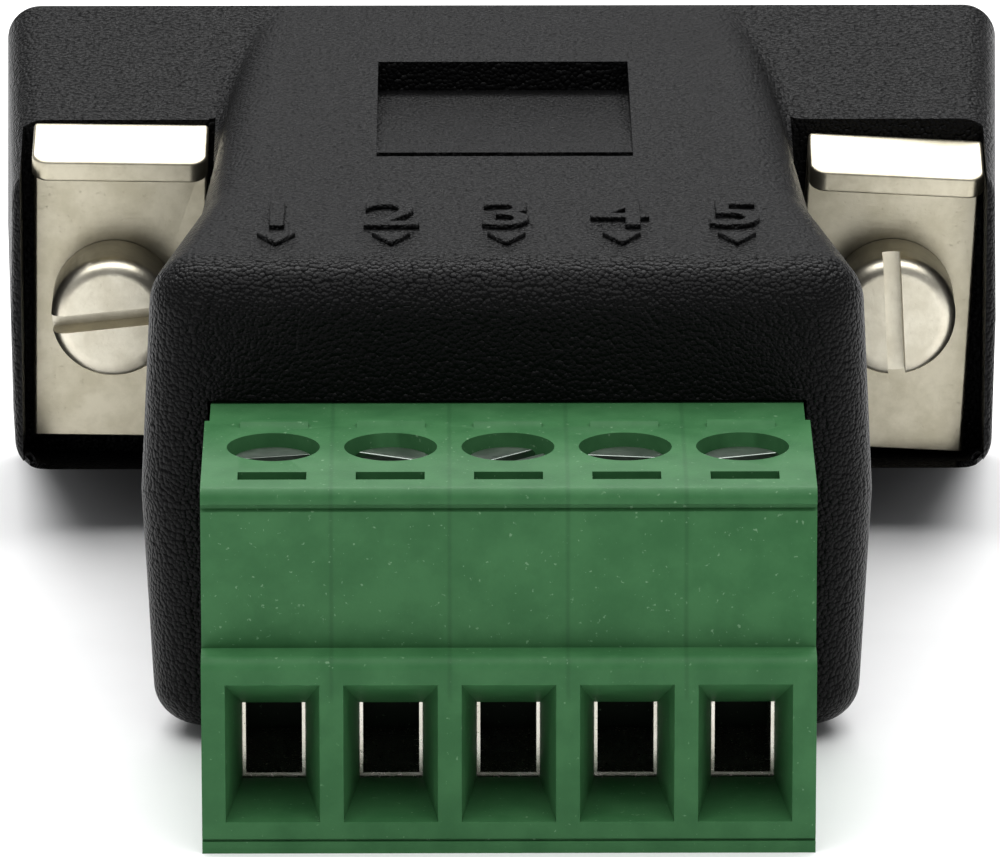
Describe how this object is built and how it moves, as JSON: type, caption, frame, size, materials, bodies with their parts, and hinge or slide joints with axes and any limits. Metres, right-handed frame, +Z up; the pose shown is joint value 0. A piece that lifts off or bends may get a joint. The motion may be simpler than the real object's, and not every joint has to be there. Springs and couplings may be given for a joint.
{
  "type": "serial to terminal block adapter",
  "caption": "Small black serial port adapter with a D-shaped socket and jackscrews at the back and a green pluggable screw terminal block at the front.",
  "frame": {"origin": "middle of the bounding box on the surface the adapter lies on, under the plug's bottom face", "axes": "+Y from the screw terminals towards the D-shaped socket, +Z up towards the clamp screws' heads, +X to the right seen from the terminals"},
  "size_m": [0.0324, 0.0452, 0.0153],
  "materials": {
    "housing_black": "fine spark-eroded texture",
    "terminal_green": "semi-gloss moulded polyamide",
    "board_green": "solder mask",
    "chip_black": "moulded package",
    "ceramic_tan": "ceramic chip parts",
    "tinned_contact": "tin plated",
    "cage_metal": "nickel plated",
    "screw_metal": "zinc plated",
    "gold_contact": "gold flash",
    "socket_plate": "nickel plated sheet",
    "insulator_black": "moulded insulator",
    "bracket_nickel": "nickel plated sheet",
    "jackscrew_nickel": "nickel plated turned screw"
  },
  "bodies": {
    "housing": {"upper_shell": "housing_black", "lower_shell": "housing_black", "circuit_board": "board_green", "line_driver_chip": "chip_black", "level_shifter_chip": "chip_black", "small_parts": "ceramic_tan", "header_housing": "terminal_green", "header_pin_1": "tinned_contact", "header_pin_2": "tinned_contact", "header_pin_3": "tinned_contact", "header_pin_4": "tinned_contact", "header_pin_5": "tinned_contact", "socket_shell": "socket_plate", "socket_back_shell": "socket_plate", "socket_front_insulator": "insulator_black", "socket_back_insulator": "insulator_black", "socket_contact_1": "gold_contact", "socket_contact_2": "gold_contact", "socket_contact_3": "gold_contact", "socket_contact_4": "gold_contact", "socket_contact_5": "gold_contact", "socket_contact_6": "gold_contact", "socket_contact_7": "gold_contact", "socket_contact_8": "gold_contact", "socket_contact_9": "gold_contact", "jack_bracket_left": "bracket_nickel", "jack_bracket_right": "bracket_nickel"},
    "plug": {"plug_housing": "terminal_green", "plug_contact_1": "tinned_contact", "plug_contact_2": "tinned_contact", "plug_contact_3": "tinned_contact", "plug_contact_4": "tinned_contact", "plug_contact_5": "tinned_contact"},
    "jackscrew_left": {"jackscrew_left": "jackscrew_nickel"},
    "jackscrew_right": {"jackscrew_right": "jackscrew_nickel"},
    "clamp_screw_1": {"clamp_screw_1": "screw_metal"},
    "clamp_cage_1": {"clamp_cage_1": "cage_metal"},
    "clamp_screw_2": {"clamp_screw_2": "screw_metal"},
    "clamp_cage_2": {"clamp_cage_2": "cage_metal"},
    "clamp_screw_3": {"clamp_screw_3": "screw_metal"},
    "clamp_cage_3": {"clamp_cage_3": "cage_metal"},
    "clamp_screw_4": {"clamp_screw_4": "screw_metal"},
    "clamp_cage_4": {"clamp_cage_4": "cage_metal"},
    "clamp_screw_5": {"clamp_screw_5": "screw_metal"},
    "clamp_cage_5": {"clamp_cage_5": "cage_metal"}
  },
  "joints": [
    {"name": "plug_slide", "type": "slide", "parent": "housing", "child": "plug", "axis": [0, -1, 0], "range_m": [0, 0.01]},
    {"name": "clamp_screw_turn_1", "type": "hinge", "parent": "plug", "child": "clamp_screw_1", "pos_m": [-0.007, -0.01734, 0.01], "axis": [0, 0, -1], "range_deg": [0, 1800]},
    {"name": "clamp_cage_rise_1", "type": "slide", "parent": "plug", "child": "clamp_cage_1", "axis": [0, 0, 1], "range_m": [0, 0.002]},
    {"name": "clamp_screw_turn_2", "type": "hinge", "parent": "plug", "child": "clamp_screw_2", "pos_m": [-0.0035, -0.01734, 0.01], "axis": [0, 0, -1], "range_deg": [0, 1800]},
    {"name": "clamp_cage_rise_2", "type": "slide", "parent": "plug", "child": "clamp_cage_2", "axis": [0, 0, 1], "range_m": [0, 0.002]},
    {"name": "clamp_screw_turn_3", "type": "hinge", "parent": "plug", "child": "clamp_screw_3", "pos_m": [0, -0.01734, 0.01], "axis": [0, 0, -1], "range_deg": [0, 1800]},
    {"name": "clamp_cage_rise_3", "type": "slide", "parent": "plug", "child": "clamp_cage_3", "axis": [0, 0, 1], "range_m": [0, 0.002]},
    {"name": "clamp_screw_turn_4", "type": "hinge", "parent": "plug", "child": "clamp_screw_4", "pos_m": [0.0035, -0.01734, 0.01], "axis": [0, 0, -1], "range_deg": [0, 1800]},
    {"name": "clamp_cage_rise_4", "type": "slide", "parent": "plug", "child": "clamp_cage_4", "axis": [0, 0, 1], "range_m": [0, 0.002]},
    {"name": "clamp_screw_turn_5", "type": "hinge", "parent": "plug", "child": "clamp_screw_5", "pos_m": [0.007, -0.01734, 0.01], "axis": [0, 0, -1], "range_deg": [0, 1800]},
    {"name": "clamp_cage_rise_5", "type": "slide", "parent": "plug", "child": "clamp_cage_5", "axis": [0, 0, 1], "range_m": [0, 0.002]},
    {"name": "jackscrew_turn_left", "type": "hinge", "parent": "housing", "child": "jackscrew_left", "pos_m": [-0.01249, 0.01117, 0.00782], "axis": [0, 1, 0], "continuous": true},
    {"name": "jackscrew_turn_right", "type": "hinge", "parent": "housing", "child": "jackscrew_right", "pos_m": [0.01249, 0.01117, 0.00782], "axis": [0, 1, 0], "continuous": true}
  ],
  "couplings": [
    {"joint": "clamp_screw_turn_1", "follows": "clamp_cage_rise_1", "rad_per_m": 15708},
    {"joint": "clamp_screw_turn_2", "follows": "clamp_cage_rise_2", "rad_per_m": 15708},
    {"joint": "clamp_screw_turn_3", "follows": "clamp_cage_rise_3", "rad_per_m": 15708},
    {"joint": "clamp_screw_turn_4", "follows": "clamp_cage_rise_4", "rad_per_m": 15708},
    {"joint": "clamp_screw_turn_5", "follows": "clamp_cage_rise_5", "rad_per_m": 15708}
  ]
}
